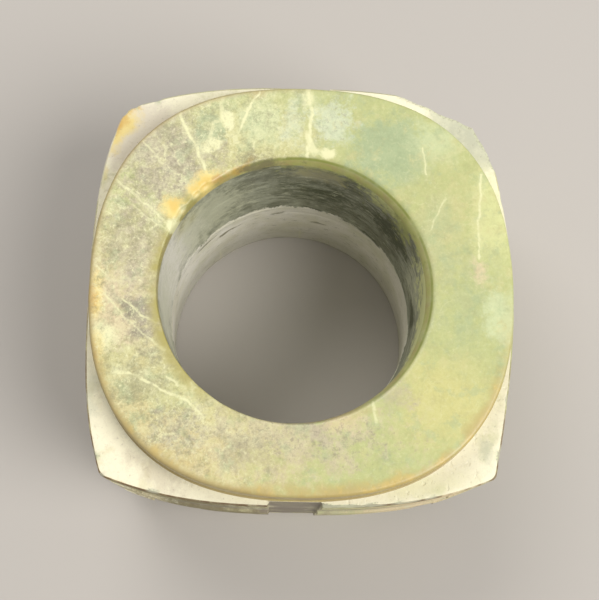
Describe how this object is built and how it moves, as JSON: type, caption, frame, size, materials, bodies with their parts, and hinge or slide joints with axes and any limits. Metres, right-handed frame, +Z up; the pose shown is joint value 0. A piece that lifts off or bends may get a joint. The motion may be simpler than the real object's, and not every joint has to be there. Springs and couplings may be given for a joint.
{
  "type": "jade cong",
  "caption": "Squat carved jade cong: a square tube with bowed sides, round collars, a wide bore and simple faces carved over its corners.",
  "frame": {"origin": "under the middle of the body, on the plane that the lower collar stands on", "axes": "+Z up along the bore, -Y towards the front side, whose groove shows in the picture, +X to the right"},
  "size_m": [0.0792, 0.081, 0.0466],
  "materials": {
    "jade": "soft polish, mottled yellow-green with cream veins and brown stains, chalky on the shoulders"
  },
  "bodies": {
    "root": {"jade_cong": "jade"}
  },
  "joints": []
}
